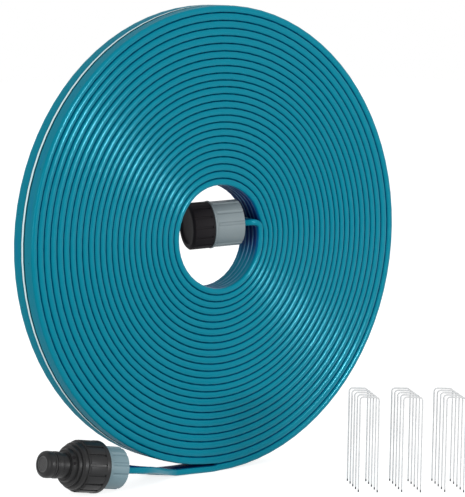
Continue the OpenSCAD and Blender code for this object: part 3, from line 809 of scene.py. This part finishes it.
# Each flute is cut by a round cutter. The spread gives the angles at which its outline has points.
FLUTES, FLUTE_CUTTER_R, FLUTE_DEPTH = 12, 1.5, 0.9
FLUTE_SPREAD = (-15, -12, -9, -6.8, -5.9, -5.4, -4.9, -4.3, -3.4, -2.2, -1.0, 0,
                1.0, 2.2, 3.4, 4.3, 4.9, 5.4, 5.9, 6.8, 9, 12)


def make_nut(name, place, material, size, length, mouth, thread, first, blank, plain_from, body, node):
    """A clamp nut: 12 flutes but for one broad land, a thin flange in front and a bevel behind."""
    outer, apart = size / 2, 360 / FLUTES
    reach = outer + FLUTE_CUTTER_R - FLUTE_DEPTH

    def fluted(angle, r, z):
        """Cuts the flutes into the grip, and leaves the bore, the flange and the blank land."""
        nearest = round((angle - first) / apart)
        off = math.radians(angle - first - apart * nearest)
        inside = FLUTE_CUTTER_R ** 2 - (reach * math.sin(off)) ** 2
        if r < outer - 2.4 or z > plain_from - 0.1 or nearest % FLUTES == blank or inside <= 0:
            return r
        return min(r, reach * math.cos(off) - math.sqrt(inside))

    corners = [(mouth / 2, 0, 0.35), (outer - 0.6, 0, 0.3), (outer, 0.6, 0.3), (outer, plain_from - 0.5, 0),
               (outer, plain_from, 0), (outer, length - 1.2, 0), (outer + 0.7, length - 1.2, 0.3),
               (outer + 0.7, length, 0.35), (thread / 2 + 0.05, length, 0.3), (thread / 2 + 0.05, 4, 0),
               (mouth / 2, 4, 0.2)]
    mesh = turned(name, corners, place, material, around(FLUTES, first, FLUTE_SPREAD), fluted, crease=28)
    mount(name, mesh, body, "grey_plastic", node)


INLET_THREAD_D, END_THREAD_D = 24, 27.4
make_nut("inlet_nut_shell", INLET, GREY, size=27.8, length=17.3, mouth=22.6, thread=INLET_THREAD_D,
         first=18.5, blank=7, plain_from=13.1, body="inlet_nut", node="inlet_clamp_nut")
make_nut("end_nut_shell", END, PALE, size=31.4, length=21.5, mouth=24.4, thread=END_THREAD_D,
         first=5, blank=8, plain_from=19.3, body="end_nut", node="end_clamp_nut")

# ---- Spigots with their screw threads ----

CLAMP_PITCH, CLAMP_FROM = 1.5, 10.4
PIPE_D, PIPE_PITCH, PIPE_LENGTH = 26.3, 1.814, 7.0
RIDGE = 0.6


def make_spigot(name, place, thread, step, node):
    """The moulded spigot: barbed stem, sleeve with the clamp thread, and the pipe thread in front."""
    root, pipe_root = thread / 2 - 0.55, PIPE_D / 2 - 0.55
    corners = [(4.5, 4.6, 0.2)]
    for k in range(3):
        z = 4.6 + 3 * k
        corners += [(5.8, z, 0), (6.3, z + 2.4, 0.1), (5.8, z + 2.4, 0)]
    corners += [(5.8, step, 0.2), (8.45, step, 0.2), (8.45, 9.55, 0.15), (root, 9.55, 0.2),
                (root, step - 0.6, 0)]
    if thread < PIPE_D:
        corners += [(PIPE_D / 2, step - 0.6, 0.1), (PIPE_D / 2, step + 0.5, 0.1)]
    else:
        corners += [(thread / 2, step - 0.6, 0.1), (thread / 2, step, 0.1)]
    corners += [(pipe_root, step + 0.5, 0), (pipe_root, step + 9.1, 0.2), (12.2, step + 9.4, 0.1),
                (4.5, step + 9.4, 0.3)]
    mount(name, turned(name, corners, place, GREY), "hose", "grey_plastic", node)
    for label, crest, start, length, pitch in (
            ("clamp", thread / 2, CLAMP_FROM, step - 1.4 - CLAMP_FROM, CLAMP_PITCH),
            ("pipe", PIPE_D / 2, step + 1.1, PIPE_LENGTH, PIPE_PITCH)):
        ridge = grown(f"{name}_{label}_thread", None, SCREW_THREAD, place, Crest_radius=crest, Ridge=RIDGE,
                      Pitch=pitch, Turns=length / pitch, Start=start, Finish=GREY)
        mount(ridge.name, ridge, "hose", "grey_plastic")


make_spigot("inlet_spigot_moulding", INLET, INLET_THREAD_D, 17.6, "inlet_spigot")
make_spigot("end_spigot_moulding", END, END_THREAD_D, 21.6, "end_spigot")

# ---- Collar of the quick connector ----


def sector_mesh(name, corners, half_angle, material, steps=6, bevel=0.25):
    """One raised land: an outline turned through a small angle, closed at both ends and bevelled."""
    outline = rounded(corners, 3)
    n, points, faces = len(outline), [], []
    for k in range(steps + 1):
        a = math.radians(half_angle * (2 * k / steps - 1))
        points += [Vector((r * math.cos(a), r * math.sin(a), z)) for r, z in outline]
    for k in range(steps):
        a, b = k * n, (k + 1) * n
        faces += [(a + q, a + (q + 1) % n, b + (q + 1) % n, b + q) for q in range(n)]
    faces += [tuple(range(n))[::-1], tuple(range(steps * n, (steps + 1) * n))]
    mesh = bpy.data.meshes.new(name)
    mesh.from_pydata(points, [], faces)
    work = bmesh.new()
    work.from_mesh(mesh)
    bmesh.ops.recalc_face_normals(work, faces=work.faces)
    rim = [e for e in work.edges if len(e.link_faces) == 2 and max(len(f.verts) for f in e.link_faces) > 4]
    bmesh.ops.bevel(work, geom=rim, offset=bevel, segments=3, profile=0.6, affect="EDGES")
    work.to_mesh(mesh)
    work.free()
    return coat_mesh(mesh, material, 40)


def make_lands(name, outline, half_angle, count, place, material, body):
    """Raised lands all round a grip."""
    land = sector_mesh(name.removesuffix("s"), outline, half_angle, material)
    lands = grown(name, land, REPEAT_ROUND_AXIS, place, Count=count, First_angle=0.0, Finish=material)
    mount(name, lands, body, "black_plastic")


# Two small plugs side by side on the collar's nose, and two more opposite.
PLUG_ANGLES, PLUG_AT, PLUG_LEAN = (-74, -53, 106, 127), (10.7, 0, 42.5), math.radians(74)


def make_collar():
    core = [(13.2, 17.5, 0.3), (17.2, 17.5, 0.5), (17.2, 20.9, 0.6), (16.25, 20.9, 0.2), (16.25, 33.6, 0.3),
            (15.9, 34.5, 0.25), (15.4, 34.5, 0.1), (15.4, 37.0, 0.4), (14.6, 38.2, 0.3), (13.4, 38.2, 0.1),
            (13.4, 40.2, 0.3), (13.0, 40.6, 0.2), (11.2, 40.6, 0.1), (10.6, 43.2, 0.3), (10.2, 43.7, 0.2),
            (9.45, 43.7, 0.15), (9.45, 32.45, 0.1), (13.2, 32.45, 0.1)]
    shell = turned("collar_shell", core, INLET, BLACK, 120, crease=32)
    mount("collar_shell", shell, "collar", "black_plastic", "connector_collar")
    land = [(15.9, 20.5, 0), (17.0, 20.5, 0.3), (17.0, 33.5, 0.5), (16.0, 34.5, 0.3), (15.7, 34.5, 0)]
    make_lands("collar_lands", land, 8.5, 16, INLET, BLACK, "collar")
    button = [(0, -0.8, 0), (1.05, -0.8, 0), (1.05, 0.3, 0.15), (0.75, 0.45, 0.2), (0, 0.25, 0)]
    for k, angle in enumerate(PLUG_ANGLES):
        stand = INLET @ Matrix.Rotation(math.radians(angle), 4, "Z") @ Matrix.Translation(PLUG_AT)
        plug = turned(f"collar_plug_{k + 1}", button, stand @ Matrix.Rotation(PLUG_LEAN, 4, "Y"), JET, 24)
        mount(plug.name, plug, "collar", "black_plastic")


make_collar()

# ---- Nipple, strainer and O-ring ----


def make_nipple():
    body = [(4.6, 29.1, 0.2), (13.1, 29.1, 0.3), (13.1, 32.4, 0.3), (9.4, 32.4, 0.2), (9.4, 43.95, 0.2),
            (8.3, 43.95, 0.1), (8.3, 48.6, 0.2), (8.8, 49.0, 0.3), (8.8, 51.8, 0.3), (8.45, 52.1, 0.2),
            (8.45, 53.15, 0.15), (6.55, 53.15, 0.2), (6.55, 55.45, 0.2), (8.8, 55.45, 0.25), (8.8, 58.0, 1.2),
            (8.0, 59.8, 0.9), (6.2, 60.5, 0.8), (5.35, 60.5, 0.25), (5.35, 58.9, 0.1), (4.6, 58.9, 0.15)]
    moulding = turned("nipple_moulding", body, INLET, BLACK, crease=32)
    mount("nipple_moulding", moulding, "nipple", "black_plastic", "connector_nipple")
    rim = [(4.55, 58.95, 0.1), (5.3, 58.95, 0.1), (5.3, 60.15, 0.2), (4.55, 60.15, 0.2)]
    mount("strainer_rim", turned("strainer_rim", rim, INLET, DARK, 64), "nipple", "dark_plastic",
          "nipple_strainer")
    disc = [(0, 59.2, 0), (4.6, 59.2, 0), (4.6, 59.55, 0), (0, 59.55, 0)]
    mount("strainer_disc", turned("strainer_disc", disc, INLET, DARK, 64), "nipple", "dark_plastic")
    weave = grown("strainer_weave", None, STRAINER_WEAVE, INLET, Across=9.4, Threads=14, Thread=0.28,
                  Height=59.65, Finish=DARK)
    mount("strainer_weave", weave, "nipple", "dark_plastic")


make_nipple()

# ---- End cap ----


def make_cap():
    core = [(13.2, 21.7, 0.3), (16, 21.7, 0.5), (16, 23.2, 0.3), (15.3, 23.4, 0.2), (15.3, 35.6, 0.2),
            (16, 35.8, 0.3), (14.5, 37.3, 0.6), (12, 37.3, 0.4), (11.6, 35.9, 0.5), (0, 35.9, 0),
            (0, 33.1, 0), (13.2, 33.1, 0.4)]
    shell = turned("cap_shell", core, END, JET, crease=32)
    mount("cap_shell", shell, "cap", "black_plastic", "end_cap")
    land = [(14.9, 23.1, 0), (16, 23.1, 0.2), (16, 35.9, 0.2), (14.9, 35.9, 0)]
    make_lands("cap_lands", land, 9.9, 14, END, JET, "cap")


make_cap()

# ---- Ground staples ----

STAPLE_WIDTH, STAPLE_HEIGHT, WIRE_D, SHOULDER_R = 13.8, 64, 1.4, 2.2
# The render's wire is thinner than the solids' wire, and runs along the same line.
DRAWN_WIRE_D = 1.1
STAPLES, STAPLE_STEP, STAPLE_TURN = 5, (-4.5, -7.6, 0), math.radians(-40)
FIRST_BUNDLE, BUNDLE_STEP = Vector((56, -88.8, 0)), Vector((23.6, -16.4, 0))


def make_staples():
    half, top = (STAPLE_WIDTH - WIRE_D) / 2, STAPLE_HEIGHT - WIRE_D / 2
    corners = [(-half, 0, 0), (-half, 0, top), (half, 0, top), (half, 0, 0)]
    for k, name in enumerate(("left", "middle", "right")):
        wire = bpy.data.meshes.new("bent_wire")
        wire.from_pydata(corners, [(0, 1), (1, 2), (2, 3)], [])
        first = Matrix.Translation(FIRST_BUNDLE + BUNDLE_STEP * k)
        bundle = grown("staple_bundle_" + name, wire, STAPLE_BUNDLE, first, Wire=DRAWN_WIRE_D,
                       Shoulder=SHOULDER_R, Count=STAPLES, Step=STAPLE_STEP, Turn=STAPLE_TURN, Finish=WIRE)
        mount("staple_bundle_" + name, bundle, name + "_staples", "steel_wire", "staples_" + name)


make_staples()

# ---- Finishes of the CAD pieces that stay ----

CAD_FINISHES = ((ACETAL, ("inlet_slip_ring", "end_slip_ring")), (BLACK, ("inlet_collet", "end_collet")),
                (RUBBER, ("inlet_washer", "end_washer", "nipple_o_ring")))
for coat, nodes in CAD_FINISHES:
    for node in nodes:
        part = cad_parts[node]
        part.data.materials.clear()
        part.data.materials.append(coat)

# ---- Floor, backdrop and lights ----


def white_to_eye(tree):
    """1 where the camera, a mirror or clear glass looks straight at the surface, 0 for other light."""
    path = tree.nodes.new("ShaderNodeLightPath")
    seen = math_node(tree, "MAXIMUM", path.outputs["Is Camera Ray"], path.outputs["Is Glossy Ray"])
    return math_node(tree, "MAXIMUM", seen, path.outputs["Is Transmission Ray"])


FLOOR_REACH = 6


def make_floor():
    """A grey floor that looks white to the eye."""
    corners = [(x * FLOOR_REACH, y * FLOOR_REACH, 0) for x, y in ((-1, -1), (1, -1), (1, 1), (-1, 1))]
    mesh = bpy.data.meshes.new("studio_floor")
    mesh.from_pydata(corners, [], [(0, 1, 2, 3)])
    material, tree, shader = start_material(
        "studio_floor", Base_Color=(0.6, 0.6, 0.6, 1), Roughness=0.9, Specular_IOR_Level=0,
        Emission_Color=(1, 1, 1, 1))
    glow = math_node(tree, "MULTIPLY", white_to_eye(tree), 0.8)
    tree.links.new(glow, shader.inputs["Emission Strength"])
    mesh.materials.append(material)
    floor = in_scene("studio_floor", mesh)


def make_backdrop():
    """A world that looks white to the eye and lights the part at a little over half of that."""
    world = bpy.data.worlds.new("studio")
    bpy.context.scene.world = world
    world.use_nodes = True
    tree = world.node_tree
    back = next(n for n in tree.nodes if n.type == "BACKGROUND")
    back.inputs["Color"].default_value = (1, 1, 1, 1)
    strength = math_node(tree, "ADD", math_node(tree, "MULTIPLY", white_to_eye(tree), 0.45), 0.55)
    tree.links.new(strength, back.inputs["Strength"])


def make_lamp(name, place, wide, high, roll, power):
    """A soft lamp aimed at the middle of the coil, and rolled about its aim."""
    lamp = bpy.data.lights.new(name, "AREA")
    lamp.shape, lamp.size, lamp.size_y, lamp.energy = "ELLIPSE", wide, high, power
    aim = (Vector((0, 0, 0.15)) - Vector(place)).to_track_quat("-Z", "Y").to_matrix().to_4x4()
    turned_to = aim @ Matrix.Rotation(math.radians(roll), 4, "Z")
    in_scene(name, lamp).matrix_world = Matrix.Translation(place) @ turned_to


make_floor()
make_backdrop()
make_lamp("key_lamp", (0.79, -2.02, 0.37), wide=0.58, high=0.17, roll=-35, power=24)
make_lamp("fill_lamp", (-2.09, -0.7, 0.42), wide=1.4, high=1.4, roll=0, power=22)

bpy.context.scene.view_settings.view_transform = "Standard"
